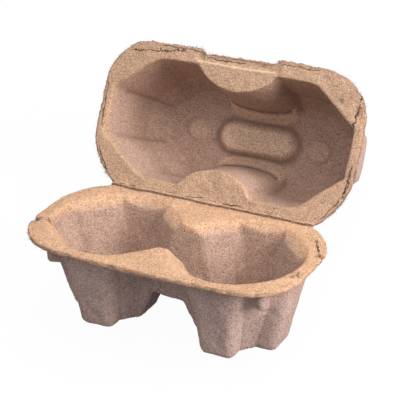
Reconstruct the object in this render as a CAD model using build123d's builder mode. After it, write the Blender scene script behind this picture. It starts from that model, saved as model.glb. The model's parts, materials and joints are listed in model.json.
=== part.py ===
"""Two-cell moulded pulp egg tray, with a lid that turns on the crease along its rear edge.

Sizes are millimetres. The tray has its own frame, with the crease as X, depth as Y and the soles
of its feet as level zero. The empty carton cannot stand with its lid thrown back, so it lies as it
comes to rest: leaned back on the rear edges of its feet and on the rear edge of its lid's top.
"""
import math
import os

from build123d import *

os.makedirs("parts", exist_ok=True)

# Pulp and crease
wall = 1.8
crease_half_length = 41.0
crease_clearance = 0.2
rim_clearance = 0.15
open_angle = 117.0
cut_overrun = 1.0

# Tray flange
tray_height = 34.0
tray_half_width = 52.4
tray_depth = 55.4
tray_front_bow = 1.2
tray_front_radius = 19.0
rear_corner_depth = 19.0
rear_corner_bulge_share = 0.62

# Cups, each a cross of four flat lobes with a flute between each two
cup_end_land = 5.1
cup_depth = 28.0
sole_reach = 17.0
sole_side_reach = 15.9
sole_half_width = 5.2
sole_flute = 12.8
throat_reach = 23.3
cup_offset = tray_half_width - cup_end_land - throat_reach
throat_half_width = 9.7
throat_flute = 23.7
mouth_reach = 24.3
mouth_half_width = 8.4
mouth_flute = 24.2
mouth_flare = 2.4
sole_bevel = 1.2
toe_height = 10.0
toe_setback = 5.0
toe_stages = 3

# Saddle between the cups, and the lugs that keep stacked trays apart
saddle_height = 14.5
saddle_half_depth = 7.0
saddle_top_half_depth = 9.9
saddle_half_length = 13.0
lug_radius = 2.5
lug_reach = 22.3
lug_length = 10.2

# Lid flange
lid_side_set_in = 0.2
lid_end_land = 3.5
lid_end_lean = 4.5
lid_end_turn_in = 7.2
lid_half_width = tray_half_width - lid_side_set_in
lid_depth = 56.0
lid_front_bow = 0.6
lid_front_radius = 17.0
lid_notch_half_width = 15.0
lid_notch_depth = 1.8

# Inside of the lid, as eight-sided sections at its rim, shoulder and panel
lid_inner_depth = 35.2
lid_middle = 27.65
shoulder_height = 27.0
rim_half_length = lid_half_width - lid_end_land
rim_half_depth = 22.85
rim_end_half_depth = 7.6
rim_front_half_length = 30.0
shoulder_half_length = rim_half_length - lid_end_lean
shoulder_half_depth = 19.1
shoulder_end_half_depth = 6.6
shoulder_front_half_length = 27.6
panel_half_length = shoulder_half_length - lid_end_turn_in
panel_half_depth = 15.2
panel_end_half_depth = 5.0
panel_front_half_length = 25.6
panel_spread = 0.9
panel_bevel = 1.6

# Bays pressed into the front and rear of the lid, at its rim, at their foot and at its panel
bay_foot_height = 30.0
bay_back = 30.0
bay_panel_inset = 1.0
bay_corner_shares = (0.33, 0.67)
rim_bay_half_length = 15.0
rim_bay_depth = 22.9
rim_bay_flat_half_length = 8.5
rim_bay_flat_depth = 16.9
rim_bay_apex = 14.75
rim_bay_bulge = 0.6
foot_bay_half_length = 15.2
foot_bay_depth = 18.0
foot_bay_flat_half_length = 8.8
foot_bay_flat_depth = 11.8
foot_bay_apex = 10.9
foot_bay_bulge = 1.5
panel_bay_half_length = 15.6
panel_bay_depth = 15.0
panel_bay_flat_half_length = 9.4
panel_bay_flat_depth = 8.6
panel_bay_apex = 7.8
panel_bay_bulge = 1.5

# Raised oblong and round pads on the inside of the panel
oblong_half_length = 17.0
oblong_half_depth = 6.4
oblong_top_half_length = 13.6
oblong_top_half_depth = 4.2
oblong_height = 2.6
pad_radius = 4.2
pad_offset = 25.3
pad_height = 0.6

# Lean of the resting carton: its table touches the rear sole edges and the rear of the lid's top
throat_height = tray_height - wall
shoulder_outer_half_depth = shoulder_half_depth + wall
panel_outer_half_depth = panel_half_depth + panel_spread
lid_height = lid_inner_depth + wall


def opened(depth, height):
    """Place in the tray's frame of a point of the opened lid, given as in the closed one."""
    turn = math.radians(open_angle)
    across = depth * math.cos(turn) + height * math.sin(turn)
    up = tray_height - depth * math.sin(turn) + height * math.cos(turn)
    return across, up


rear_sole = sole_reach - sole_bevel - cup_depth
bevel_reach = sole_reach + (throat_reach - sole_reach) * sole_bevel / throat_height
front_soles = [(sole_bevel - sole_reach - cup_depth, 0), (-bevel_reach - cup_depth, sole_bevel)]
panel_edges = [
    (panel_outer_half_depth, lid_height - panel_bevel),
    (panel_outer_half_depth - panel_bevel, lid_height),
]
rear_edges = [opened(half_depth - lid_middle, height) for half_depth, height in panel_edges]
front_edges = [opened(-half_depth - lid_middle, height) for half_depth, height in panel_edges]
front_edges.append(opened(-shoulder_outer_half_depth - lid_middle, shoulder_height))
lean = min(math.atan2(height, depth - rear_sole) for depth, height in rear_edges)


def leaned(point):
    """Depth and height of a point of the tray's frame once the carton is leaned back."""
    depth = point[0] * math.cos(lean) + point[1] * math.sin(lean)
    height = point[1] * math.cos(lean) - point[0] * math.sin(lean)
    return depth, height


front_reach = min(leaned(edge)[0] for edge in front_soles)
rear_reach = max(leaned(edge)[0] for edge in front_edges)
tray_base = Plane(
    origin=(0, -(front_reach + rear_reach) / 2, -leaned((rear_sole, 0))[1]),
    x_dir=(1, 0, 0),
    z_dir=(0, math.sin(lean), math.cos(lean)),
)
lid_turn = lean + math.radians(open_angle)
lid_rim = Plane(
    origin=tray_base.offset(tray_height).origin,
    x_dir=(1, 0, 0),
    z_dir=(0, math.sin(lid_turn), math.cos(lid_turn)),
)


def cup_section(side, height, inset):
    """Cross-shaped section of a cup at a height, moved inwards by an inset for its inside."""
    share = height / throat_height
    reach = sole_reach + (throat_reach - sole_reach) * share - inset
    outer = sole_side_reach + (throat_reach - sole_side_reach) * share - inset
    toe = toe_setback * max(0, 1 - height / toe_height) ** 2
    half = sole_half_width + (throat_half_width - sole_half_width) * share - inset / 2
    flute = sole_flute + (throat_flute - sole_flute) * share - inset
    return cross(side, height, (reach, outer, outer - toe), half, flute)


def cross(side, height, reaches, half, flute):
    """Cross of four lobes, flat at their ends, joined by four flutes that pass a given radius."""
    reach, outer, inner = reaches
    right = outer if side > 0 else inner
    left = inner if side > 0 else outer
    lobes = [
        ((right, -half), (right, half)),
        ((half, reach), (-half, reach)),
        ((-left, half), (-left, -half)),
        ((-half, -reach), (half, -reach)),
    ]
    diagonals = [(1, 1), (-1, 1), (-1, -1), (1, -1)]
    middle = flute * math.sqrt(1 / 2)
    level = tray_base.offset(height)
    centre = level.from_local_coords((side * cup_offset, -cup_depth, 0))
    with BuildSketch(Plane(centre, x_dir=level.x_dir, z_dir=level.z_dir)) as section:
        with BuildLine():
            for index, (start, end) in enumerate(lobes):
                following = lobes[(index + 1) % len(lobes)][0]
                across, along = diagonals[index]
                Line(start, end)
                ThreePointArc(end, (middle * across, middle * along), following)
        make_face()
    return section.sketch


def saddle_section(height, half_depth):
    """Rectangle across both cups, for the trough that joins them."""
    with BuildSketch(tray_base.offset(height)) as section:
        with Locations((0, -cup_depth)):
            Rectangle(2 * saddle_half_length, 2 * half_depth)
    return section.sketch


def flange_outline(plane, half_width, depth, bow, front_radius):
    """Outline of a flange: crease at the rear, rounded corners and a slightly bowed front."""
    front_half = half_width - front_radius
    bulge = rear_corner_bulge_share
    rear_mid = (
        crease_half_length + (half_width - crease_half_length) * bulge,
        -rear_corner_depth * (1 - bulge),
    )
    with BuildSketch(plane) as outline:
        with BuildLine():
            crease = Line((-crease_half_length, -crease_clearance), (crease_half_length, -crease_clearance))
            right_rear = ThreePointArc(crease @ 1, rear_mid, (half_width, -rear_corner_depth))
            right_side = Line(right_rear @ 1, (half_width, front_radius - depth))
            right_front = JernArc(right_side @ 1, (0, -1), front_radius, -90)
            front = ThreePointArc(right_front @ 1, (0, -depth - bow), (-front_half, -depth))
            left_front = JernArc(front @ 1, (-1, 0), front_radius, -90)
            left_side = Line(left_front @ 1, (-half_width, -rear_corner_depth))
            ThreePointArc(left_side @ 1, (-rear_mid[0], rear_mid[1]), crease @ 0)
        make_face()
    return outline.sketch


def lid_section(height, sizes, spread):
    """Eight-sided section of the lid at a height from its rim, spread outwards for its outside."""
    half_length, half_depth, end_half, front_half = sizes
    corner = spread * math.tan(math.radians(45) / 2)
    points = [
        (half_length + spread, end_half + corner),
        (front_half + corner, half_depth + spread),
        (-front_half - corner, half_depth + spread),
        (-half_length - spread, end_half + corner),
        (-half_length - spread, -end_half - corner),
        (-front_half - corner, -half_depth - spread),
        (front_half + corner, -half_depth - spread),
        (half_length + spread, -end_half - corner),
    ]
    with BuildSketch(lid_rim.offset(height)) as section:
        with Locations((0, -lid_middle)):
            Polygon(*points, align=None)
    return section.sketch


def bay(side, height, sizes, inset):
    """Section of a bay at a height: a flat reach with round corners, open to the lid's outside."""
    half_length, depth, flat_half_length, flat_depth, apex, bulge = sizes
    flank = (half_length - inset, depth + inset / 2)
    flat = (flat_half_length - inset / 2, flat_depth + inset)
    right = [flank]
    for share in bay_corner_shares:
        swell = bulge * 4 * share * (1 - share) * math.sqrt(1 / 2)
        across = flank[0] + (flat[0] - flank[0]) * share + swell
        right.append((across, flank[1] + (flat[1] - flank[1]) * share - swell))
    right += [flat, (0, apex + inset), (flank[0], bay_back + inset)]
    right = [(x, side * y - lid_middle) for x, y in right]
    left = [(-x, y) for x, y in right]
    *right_corner, front, right_back = right
    *left_corner, _, left_back = left
    with BuildSketch(lid_rim.offset(height)) as section:
        with BuildLine():
            Polyline(*right_corner)
            ThreePointArc(right_corner[-1], front, left_corner[-1])
            Polyline(*left_corner)
            Polyline(left_corner[0], left_back, right_back, right_corner[0])
        make_face()
    return section.sketch


def oblong(height, half_length, half_depth):
    """Oblong with round ends, on the middle of the lid at a height from its rim."""
    with BuildSketch(lid_rim.offset(height)) as section:
        with Locations((0, -lid_middle)):
            SlotOverall(2 * half_length, 2 * half_depth)
    return section.sketch


# Hollow of the tray: both cups, flared at their mouths, and the trough between them
toe_heights = [toe_height * stage / toe_stages for stage in range(1, toe_stages + 1)]
with BuildPart() as tray_hollow:
    for side in (-1, 1):
        inner = [cup_section(side, height, wall) for height in [wall] + toe_heights]
        flare_start = cup_section(side, tray_height - mouth_flare, wall)
        mouth = cross(side, tray_height, [mouth_reach] * 3, mouth_half_width, mouth_flute)
        loft(sections=inner + [flare_start], ruled=True)
        loft(sections=[flare_start, mouth], ruled=True)
    loft(
        sections=[
            saddle_section(saddle_height, saddle_half_depth),
            saddle_section(tray_height, saddle_top_half_depth),
        ],
        ruled=True,
    )

# Tray: two cups on cross-shaped soles, joined by the saddle and the flange
with BuildPart() as tray:
    for side in (-1, 1):
        sole = cup_section(side, 0, sole_bevel)
        stages = [sole_bevel] + toe_heights + [throat_height]
        loft(sections=[sole] + [cup_section(side, height, 0) for height in stages], ruled=True)
    loft(
        sections=[
            saddle_section(saddle_height - wall, saddle_half_depth + wall),
            saddle_section(throat_height, saddle_top_half_depth + wall),
        ],
        ruled=True,
    )
    extrude(
        flange_outline(
            tray_base.offset(throat_height), tray_half_width, tray_depth, tray_front_bow, tray_front_radius
        ),
        amount=wall - rim_clearance,
    )
    lug_place = lug_reach * math.sqrt(1 / 2)
    with BuildSketch(tray_base.offset(throat_height)) as lugs:
        with Locations((0, -cup_depth)):
            with GridLocations(2 * (cup_offset + lug_place), 2 * lug_place, 2, 2):
                Circle(lug_radius)
    extrude(lugs.sketch, amount=-lug_length)
    add(tray_hollow.part, mode=Mode.SUBTRACT)
tray.part.label = "tray"
export_step(tray.part, "parts/tray.step")

rim_sizes = (rim_half_length, rim_half_depth, rim_end_half_depth, rim_front_half_length)
shoulder_sizes = (
    shoulder_half_length,
    shoulder_half_depth,
    shoulder_end_half_depth,
    shoulder_front_half_length,
)
panel_sizes = (panel_half_length, panel_half_depth, panel_end_half_depth, panel_front_half_length)
rim_bay = (
    rim_bay_half_length,
    rim_bay_depth,
    rim_bay_flat_half_length,
    rim_bay_flat_depth,
    rim_bay_apex,
    rim_bay_bulge,
)
foot_bay = (
    foot_bay_half_length,
    foot_bay_depth,
    foot_bay_flat_half_length,
    foot_bay_flat_depth,
    foot_bay_apex,
    foot_bay_bulge,
)
panel_bay = (
    panel_bay_half_length,
    panel_bay_depth,
    panel_bay_flat_half_length,
    panel_bay_flat_depth,
    panel_bay_apex,
    panel_bay_bulge,
)

# Hollow of the lid, with the bays, the oblong and the round pads standing into it
with BuildPart() as lid_hollow:
    loft(
        sections=[
            lid_section(0, rim_sizes, 0),
            lid_section(shoulder_height, shoulder_sizes, 0),
            lid_section(lid_inner_depth, panel_sizes, 0),
        ],
        ruled=True,
    )
    for side in (-1, 1):
        loft(
            sections=[
                bay(side, 0, rim_bay, 0),
                bay(side, bay_foot_height, foot_bay, 0),
                bay(side, lid_inner_depth, panel_bay, 0),
            ],
            ruled=True,
            mode=Mode.SUBTRACT,
        )
    loft(
        sections=[
            oblong(lid_inner_depth, oblong_half_length, oblong_half_depth),
            oblong(lid_inner_depth - oblong_height, oblong_top_half_length, oblong_top_half_depth),
        ],
        ruled=True,
        mode=Mode.SUBTRACT,
    )
    with BuildSketch(lid_rim.offset(lid_inner_depth)) as pads:
        with Locations((-pad_offset, -lid_middle), (pad_offset, -lid_middle)):
            Circle(pad_radius)
    extrude(pads.sketch, amount=-pad_height, mode=Mode.SUBTRACT)

# Lid: a drafted shell with its flange, its two bays and a sunk oblong on top
with BuildPart() as lid:
    loft(
        sections=[
            lid_section(rim_clearance, rim_sizes, wall),
            lid_section(shoulder_height, shoulder_sizes, wall),
            lid_section(lid_height - panel_bevel, panel_sizes, panel_spread),
            lid_section(lid_height, panel_sizes, panel_spread - panel_bevel),
        ],
        ruled=True,
    )
    for side in (-1, 1):
        loft(
            sections=[
                bay(side, 0, rim_bay, wall),
                bay(side, bay_foot_height, foot_bay, wall),
                bay(side, lid_height, panel_bay, bay_panel_inset),
            ],
            ruled=True,
            mode=Mode.SUBTRACT,
        )
    loft(
        sections=[
            oblong(lid_height, oblong_half_length - wall / 2, oblong_half_depth - wall / 2),
            oblong(lid_height - oblong_height, oblong_top_half_length - wall, oblong_top_half_depth - wall),
        ],
        ruled=True,
        mode=Mode.SUBTRACT,
    )
    extrude(
        flange_outline(
            lid_rim.offset(rim_clearance), lid_half_width, lid_depth, lid_front_bow, lid_front_radius
        ),
        amount=wall - rim_clearance,
    )
    add(lid_hollow.part, mode=Mode.SUBTRACT)
    with BuildSketch(lid_rim) as notch:
        with Locations((0, -lid_depth - lid_front_bow)):
            Rectangle(2 * lid_notch_half_width, 2 * lid_notch_depth)
    extrude(notch.sketch, amount=wall + cut_overrun, mode=Mode.SUBTRACT)
lid.part.label = "lid"
export_step(lid.part, "parts/lid.step")
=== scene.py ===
"""Moulded pulp egg carton: a two-cup tray and the deep lid that turns on its rear crease.

Each half of the moulding is a sheet worked out on a polar grid, which is given the wall of the
pulp, a torn rim and the small unevenness of a pressed wet fibre mat. Sizes are millimetres in a
half's own frame: X along the crease, Y from the front (negative) to the crease, Z up from the rim
plane. One function turns them into the metres of the shared frame.
"""
from __future__ import annotations

import json
import logging
import math
from collections.abc import Callable
from dataclasses import dataclass
from enum import Enum
from functools import partial
from typing import ClassVar

import bpy
import numpy as np
from mathutils import Matrix

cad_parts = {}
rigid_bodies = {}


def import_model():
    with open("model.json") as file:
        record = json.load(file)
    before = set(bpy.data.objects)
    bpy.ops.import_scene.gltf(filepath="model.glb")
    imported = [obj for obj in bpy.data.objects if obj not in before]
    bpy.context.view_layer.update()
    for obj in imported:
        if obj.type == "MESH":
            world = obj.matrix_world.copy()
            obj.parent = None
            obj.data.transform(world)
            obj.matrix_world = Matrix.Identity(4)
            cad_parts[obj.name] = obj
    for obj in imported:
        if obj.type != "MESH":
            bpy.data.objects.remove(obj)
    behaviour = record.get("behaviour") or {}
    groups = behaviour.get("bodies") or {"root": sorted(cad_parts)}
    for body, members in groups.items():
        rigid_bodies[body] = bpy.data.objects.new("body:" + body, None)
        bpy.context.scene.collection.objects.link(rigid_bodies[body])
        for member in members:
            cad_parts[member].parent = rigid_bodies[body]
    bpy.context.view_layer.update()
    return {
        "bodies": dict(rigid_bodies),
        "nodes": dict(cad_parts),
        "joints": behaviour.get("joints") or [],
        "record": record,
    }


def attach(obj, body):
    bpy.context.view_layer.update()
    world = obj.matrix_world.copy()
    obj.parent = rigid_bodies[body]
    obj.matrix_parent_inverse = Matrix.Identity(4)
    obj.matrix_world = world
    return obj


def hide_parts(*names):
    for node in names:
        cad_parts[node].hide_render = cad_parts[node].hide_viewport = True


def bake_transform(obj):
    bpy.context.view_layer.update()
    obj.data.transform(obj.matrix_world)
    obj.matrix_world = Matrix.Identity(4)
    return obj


LOG = logging.getLogger("egg_carton")
Array = np.ndarray
Pair = tuple[float, float]
Triple = tuple[float, float, float]
# X and Y of one end of a line and of the other.
Stretch = tuple[float, float, float, float]
HeightField = Callable[[Array, Array], Array]
Socket = bpy.types.NodeSocket

MM = 0.001
MERGE_DISTANCE = 1e-4
FINE_STEPS = 900
ARC_POINTS = 60
HALF_ROOT = math.sqrt(0.5)
RIM_DEPTH = 1.9
OWN_PLACE = "carton_mm"
FAR_FROM_EDGE = 30.0
# Each of these keeps a division or a power away from zero.
LEAST_LENGTH = 1e-12
LEAST_SIZE = 1e-30
LEAST_SHARE = 1e-6
LEAST_SLOPE = 1e-3
MULTIPLY = {"operation": "MULTIPLY"}
MULTIPLY_ADD = {"operation": "MULTIPLY_ADD"}
ABSOLUTE = {"operation": "ABSOLUTE"}


def fade(values: Array, full: float, none: float) -> Array:
    """A share of one at full and beyond, of zero at none and beyond, on a straight line between.

    Args:
        values: what the share depends on, such as a distance.
        full: the value with the share of one.
        none: the value with the share of zero, on either side of full.

    Returns:
        One share for each value.
    """
    return np.clip((none - values) / (none - full), 0, 1)


def bell(off: Array, width: float) -> Array:
    """A bell over a distance: e to the power of minus the square of distance over width."""
    return np.exp(-((off / width) ** 2))


def unit(vectors: Array) -> Array:
    """Vectors divided by their lengths, with their three parts on the last axis."""
    return vectors / np.maximum(np.linalg.norm(vectors, axis=-1, keepdims=True), LEAST_LENGTH)


def summed(numbers: Array, vectors: Array, count: int) -> Array:
    """The sum of the vectors that share a number, as one row for each number below count."""
    return np.stack([np.bincount(numbers, vectors[:, axis], count) for axis in range(3)], -1)


@dataclass(frozen=True)
class Placement:
    """Where a half of the carton stands: its crease and how far it is turned about it."""

    crease: Triple
    turn: float

    def to_world(self, points: Array) -> Array:
        """Turn a half's own points about the crease and move them there.

        Depth becomes depth times cosine plus height times sine. Height becomes height times
        cosine less depth times sine.

        Args:
            points: millimetres in the half's frame, with X, Y and Z last.

        Returns:
            The same points in metres in the shared frame.
        """
        depth, height = points[..., 1], points[..., 2]
        cos, sin = math.cos(self.turn), math.sin(self.turn)
        turned = [points[..., 0], depth * cos + height * sin, height * cos - depth * sin]
        return np.stack(turned, -1) * MM + np.array(self.crease)

    def direction(self, vector: Array) -> Array:
        """Turn a direction of the half's frame into the shared frame."""
        return (self.to_world(vector) - self.to_world(np.zeros(3))) / MM


@dataclass(frozen=True)
class CartonPose:
    """The two halves' placements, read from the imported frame."""

    tray: Placement
    lid: Placement

    @classmethod
    def from_frame(cls, frame: dict) -> CartonPose:
        """Read the lean from the sole's mount and the opening from the crease's joint.


        Returns:
            The placements of tray and lid at rest.
        """
        joint = frame["joints"][0]
        sole = next(mount for mount in frame["record"]["mounts"] if mount["name"] == "sole")
        lean = math.atan2(-sole["axis"][1], -sole["axis"][2])
        opening = -math.radians(joint["range_deg"][0])
        crease = tuple(joint["pos_m"])
        return cls(Placement(crease, lean), Placement(crease, lean + opening))


class Grain:
    """Smooth seeded noise on a repeating lattice, sampled as whole arrays."""

    size: ClassVar[int] = 48

    def __init__(self, seed: int) -> None:
        """Fill the lattice with normal values from a seed."""
        self.lattice = np.random.default_rng(seed).standard_normal((self.size,) * 3)

    def __call__(self, points: Array, scale: float) -> Array:
        """Blend the eight lattice values round each point with a smooth step.

        Args:
            points: places in millimetres, with X, Y and Z last.
            scale: the lattice's spacing in millimetres.

        Returns:
            One value of about unit spread for each point.
        """
        place = points / scale
        low = np.floor(place).astype(int)
        share = place - low
        share = share * share * (3 - 2 * share)
        total = np.zeros(points.shape[:-1])
        for corner in np.ndindex(2, 2, 2):
            weight = np.prod(np.where(corner, share, 1 - share), -1)
            index = tuple(np.moveaxis((low + corner) % self.size, -1, 0))
            total += weight * self.lattice[index]
        return total

    def vectors(self, points: Array, scale: float, offsets: Triple) -> Array:
        """Three values for each point, each read at the point moved by an offset of its own."""
        return np.stack([self(points + offset, scale) for offset in offsets], -1)


@dataclass
class Sheet:
    """A surface with no thickness: its points and its four-sided faces."""

    points: Array
    faces: Array

    @classmethod
    def from_rays(cls, rays: Array) -> Sheet:
        """Join rays that start at one pole into a closed fan of faces.

        Args:
            rays: points of shape (rays, steps, 3), the first of each ray at the pole.

        Returns:
            The sheet, with its pole merged into one point.
        """
        count, steps = rays.shape[:2]
        index = np.arange(count * steps).reshape(count, steps)
        after = np.roll(index, -1, 0)
        faces = np.stack([index[:, :-1], index[:, 1:], after[:, 1:], after[:, :-1]], -1)
        return cls(rays.reshape(-1, 3), faces.reshape(-1, 4)).merged()

    def merged(self) -> Sheet:
        """Give points that share a place one number.

        Returns:
            The same surface with each place once.
        """
        keys = np.round(self.points / MERGE_DISTANCE).astype(np.int64)
        _, first, where = np.unique(keys, axis=0, return_index=True, return_inverse=True)
        return Sheet(self.points[first], where.reshape(-1)[self.faces])

    def joined(self, other: Sheet) -> Sheet:
        """Put this sheet and another's mirror image across the carton's middle into one.

        Args:
            other: the sheet whose mirror image is added.

        Returns:
            One sheet, merged along the middle.
        """
        image = other.points * np.array([-1.0, 1.0, 1.0])
        faces = np.concatenate([self.faces, other.faces[:, ::-1] + len(self.points)])
        return Sheet(np.concatenate([self.points, image]), faces).merged()

    def sides(self) -> Array:
        """Both ends of each side of each face, in the direction that goes round the face."""
        pairs = np.concatenate([self.faces[:, [side, (side + 1) % 4]] for side in range(4)])
        return pairs[pairs[:, 0] != pairs[:, 1]]

    def rim(self) -> Array:
        """Find the edges that have one face.

        Returns:
            Both ends of each, in the direction in which its face goes round it.
        """
        pairs = self.sides()
        _, where, counts = np.unique(
            np.sort(pairs, 1), axis=0, return_inverse=True, return_counts=True
        )
        return pairs[counts[where.reshape(-1)] == 1]

    def relaxed(self, points: Array, hold: Array) -> Array:
        """Move each point halfway to the mean of its neighbours, and less if it is held.

        Args:
            points: the places to even out, one for each point of the sheet.
            hold: how much of a point's own place is kept, from 0 to 1.

        Returns:
            The evened places.
        """
        edges = np.unique(np.sort(self.sides(), 1), axis=0)
        ends = np.concatenate([edges, edges[:, ::-1]])
        count = np.bincount(ends[:, 0], minlength=len(points))[:, None]
        total = summed(ends[:, 0], points[ends[:, 1]], len(points))
        kept = hold[:, None]
        return points * (0.5 + 0.5 * kept) + (0.5 - 0.5 * kept) * total / count

    def normals(self, points: Array) -> Array:
        """Unit normals: the sum of the cross products of the diagonals of a point's faces.

        Args:
            points: places of the sheet's points.

        Returns:
            One unit vector for each point.
        """
        corners = points[self.faces]
        across = np.cross(corners[:, 2] - corners[:, 0], corners[:, 3] - corners[:, 1])
        return unit(summed(self.faces.reshape(-1), np.repeat(across, 4, axis=0), len(points)))


def ray_grid(
    angles: Array, reach: Array, centre: Pair, height: HeightField, steps: int
) -> Array:
    """Points along rays from a centre, at equal steps of the length of the surface under each.

    Each ray is sampled finely, its length along the surface is added up, and its points are set
    at equal shares of that length, so that steep walls get as many points as flat ground.

    Args:
        angles: direction of each ray, in radians.
        reach: length of each ray in plan.
        centre: where the rays start.
        height: function of X and Y arrays that gives the surface's height.
        steps: points along each ray.

    Returns:
        Points of shape (rays, steps, 3).
    """
    share = np.linspace(0, 1, FINE_STEPS)
    x = centre[0] + np.cos(angles)[:, None] * reach[:, None] * share
    y = centre[1] + np.sin(angles)[:, None] * reach[:, None] * share
    fine = np.stack([x, y, height(x, y)], -1)
    length = np.cumsum(np.linalg.norm(np.diff(fine, axis=1), axis=2), 1)
    length = np.concatenate([np.zeros((len(angles), 1)), length], 1)
    # Each ray's shares are raised by two more than the last one's, so that one call reads all.
    rows = 2.0 * np.arange(len(angles))[:, None]
    known = (length / length[:, -1:] + rows).reshape(-1)
    wanted = (np.linspace(0, 1, steps) + rows).reshape(-1)
    parts = [np.interp(wanted, known, fine[..., axis].reshape(-1)) for axis in range(3)]
    return np.stack(parts, -1).reshape(len(angles), steps, 3)


def arc(start: Pair, middle: Pair, end: Pair) -> Array:
    """Points of the circle through three places, whose centre is equally far from all three.

    Args:
        start: the first place.
        middle: a place between.
        end: the last place.

    Returns:
        Points of shape (ARC_POINTS, 2) at equal angles.
    """
    (ax, ay), (bx, by), (cx, cy) = start, middle, end
    twice = 2 * (ax * (by - cy) + bx * (cy - ay) + cx * (ay - by))
    a2, b2, c2 = ax * ax + ay * ay, bx * bx + by * by, cx * cx + cy * cy
    centre_x = (a2 * (by - cy) + b2 * (cy - ay) + c2 * (ay - by)) / twice
    centre_y = (a2 * (cx - bx) + b2 * (ax - cx) + c2 * (bx - ax)) / twice
    turns = np.unwrap([math.atan2(y - centre_y, x - centre_x) for x, y in (start, middle, end)])
    sweep = np.linspace(turns[0], turns[2], ARC_POINTS)
    radius = math.hypot(ax - centre_x, ay - centre_y)
    return np.stack([centre_x + radius * np.cos(sweep), centre_y + radius * np.sin(sweep)], -1)


@dataclass(frozen=True)
class Flange:
    """Outline of a half's flat rim, the same left and right.

    The front bows out by a length in its middle. A step, where there is one, sets the middle of
    the front back by its depth. A ray meets the front if the sine of its turn towards the front
    is above front_sine.
    """

    half_width: float
    depth: float
    bow: float
    front_radius: float
    rear_corner_depth: float
    crease_half_length: float
    crease_clearance: float
    rear_bulge_share: float = 0.62
    step_half_width: float = 0.0
    step_depth: float = 0.0
    step_flank: float = 0.8
    front_sine: float = 0.2

    @property
    def middle(self) -> Pair:
        """The flange's middle, from which its whole outline is seen."""
        return 0.0, -self.depth / 2

    def outline(self) -> Array:
        """Work out the outline, without its step.

        Returns:
            Corners from the crease's right end clockwise to its left end.
        """
        bulge = self.rear_bulge_share
        crease = (self.crease_half_length, -self.crease_clearance)
        side = (self.half_width, -self.rear_corner_depth)
        rear_middle = (crease[0] + (side[0] - crease[0]) * bulge, side[1] * (1 - bulge))
        radius = self.front_radius
        front = (self.half_width - radius, -self.depth)
        cut = radius * (1 - HALF_ROOT)
        rear_corner = arc(crease, rear_middle, side)
        front_corner = arc(
            (self.half_width, radius - self.depth), (self.half_width - cut, cut - self.depth), front
        )
        half = np.concatenate([rear_corner, front_corner])
        bowed = arc(front, (0.0, -self.depth - self.bow), (-front[0], front[1]))
        return np.concatenate([half, bowed[1:-1], half[::-1] * np.array([-1.0, 1.0])])

    def inset(self, points: Array) -> Array:
        """How far places lie within the outline, along the ray from the flange's middle.

        Args:
            points: places in the half's frame, with X and Y first.

        Returns:
            The reach of the outline less the place's distance, for each place.
        """
        away = points[:, :2] - np.array(self.middle)
        angles = np.arctan2(away[:, 1], away[:, 0])
        return self.reach(self.middle, angles) - np.hypot(away[:, 0], away[:, 1])

    def reach(self, centre: Pair, angles: Array) -> Array:
        """How far the outline lies from a centre in each direction.

        Args:
            centre: a place that sees the whole outline.
            angles: directions in radians.

        Returns:
            The distance for each angle.
        """
        corners = self.outline()
        after = np.roll(corners, -1, 0)
        share = np.linspace(0, 1, ARC_POINTS, endpoint=False)[:, None, None]
        dense = (corners * (1 - share) + after * share).transpose(1, 0, 2).reshape(-1, 2)
        away = dense - np.array(centre)
        turn = np.arctan2(away[:, 1], away[:, 0])
        order = np.argsort(turn)
        far = np.hypot(away[:, 0], away[:, 1])
        reach = np.interp(angles, turn[order], far[order], period=2 * math.pi)
        x = centre[0] + np.cos(angles) * reach
        half_width = self.step_half_width
        stepped = fade(np.abs(x), half_width - self.step_flank, half_width)
        forward = -np.sin(angles)
        stepped = stepped * (forward > self.front_sine)
        return reach - stepped * self.step_depth / np.maximum(forward, self.front_sine)


@dataclass(frozen=True)
class Cross:
    """A cup's section: a cross of four flat lobes with a channel between each two.

    The lobe beside the saddle and the outer lobe have a reach of their own, and the outer lobe
    has its own half width too. The floor is a channel's distance from the cup's middle and its
    half width.
    """

    reach: float
    inner_reach: float
    outer_reach: float
    half_width: float
    outer_half_width: float
    floor: Pair

    def radius(self, u: Array, v: Array, setback: float = 0.0) -> Array:
        """Distance to the cross's edge in the direction of each place.

        A lobe's end is a straight line across its axis. A channel has a flat floor square to the
        diagonal, and a straight flank from each end of the floor to the lobe's corner beside it.

        Args:
            u: distance outwards from the cup's middle.
            v: distance to the rear of the cup's middle.
            setback: how far the outer lobe is set back.

        Returns:
            The distance for each place.
        """
        angle = np.arctan2(v, u)
        reach_x = np.where(u > 0, self.outer_reach - setback, self.inner_reach)
        half = np.where(u > np.abs(v), self.outer_half_width, self.half_width)
        reach = reach_x + (self.reach - reach_x) * np.sin(angle) ** 2
        quarter = np.abs((angle + math.pi / 4) % (math.pi / 2) - math.pi / 4)
        deep, wide = self.floor
        run = (reach + half) / math.sqrt(2) - deep
        rise = (reach - half) / math.sqrt(2) - wide
        off = math.pi / 4 - quarter
        slope = np.maximum(np.cos(off) * rise - np.sin(off) * run, LEAST_SLOPE)
        channel = np.maximum(deep / np.cos(off), (deep * rise - wide * run) / slope)
        return np.where(quarter < np.arctan2(half, reach), reach / np.cos(quarter), channel)


class PaintMark(Enum):
    """Attributes that a pulp mesh carries for its finish."""

    SCREEN = "screen_side"
    # The flat rim, whose tan is partly painted light.
    LAND = "land"
    EDGE = "edge_mm"
    TORN = "torn"
    # A painted highlight on the lid's raised forms.
    RUBBED = "rubbed"
    # Real scars, and on the lid also painted shade in its creases and grooves.
    SCAR = "scar"


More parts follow.
